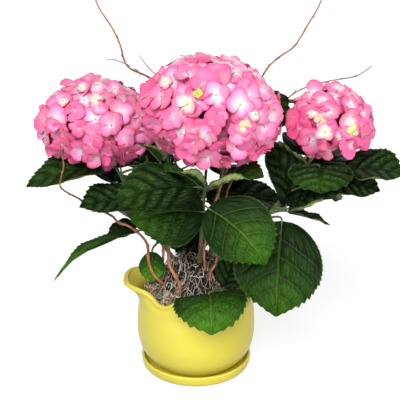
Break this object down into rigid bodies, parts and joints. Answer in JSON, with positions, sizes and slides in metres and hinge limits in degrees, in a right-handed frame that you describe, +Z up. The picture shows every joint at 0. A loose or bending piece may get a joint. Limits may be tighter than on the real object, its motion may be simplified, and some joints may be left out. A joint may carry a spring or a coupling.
{
  "type": "potted hydrangea shrub",
  "caption": "Small flowering shrub with large rounded pink flower heads and broad toothed leaves, in a glazed pot with a wavy rim, on a saucer, with curly twigs.",
  "frame": {"origin": "middle of the saucer's flat underside", "axes": "+Z up, -Y towards the front, where the middle flower head and the largest leaves are"},
  "size_m": [0.5301, 0.3504, 0.5802],
  "materials": {
    "glaze": "satin glaze, lemon yellow",
    "soil": "matt, moist peat with roots and moss",
    "cane": "green young bark",
    "leaf": "satin leaf surface",
    "bloom": "soft petals, mid pink",
    "willow": "orange-brown bark"
  },
  "bodies": {
    "root": {"saucer": "glaze", "pot": "glaze", "soil": "soil", "cane_left": "cane", "cane_centre": "cane", "cane_right": "cane", "cane_back_left": "cane", "cane_back_right": "cane", "willow_twig_1": "willow", "willow_twig_2": "willow", "willow_twig_3": "willow", "willow_twig_4": "willow", "willow_twig_5": "willow", "bloom_left": "bloom", "bloom_centre": "bloom", "bloom_right": "bloom", "leaves_left": "leaf", "leaves_centre": "leaf", "leaves_right": "leaf", "leaves_back_left": "leaf", "leaves_back_right": "leaf", "leaves_front": "leaf"}
  },
  "joints": []
}
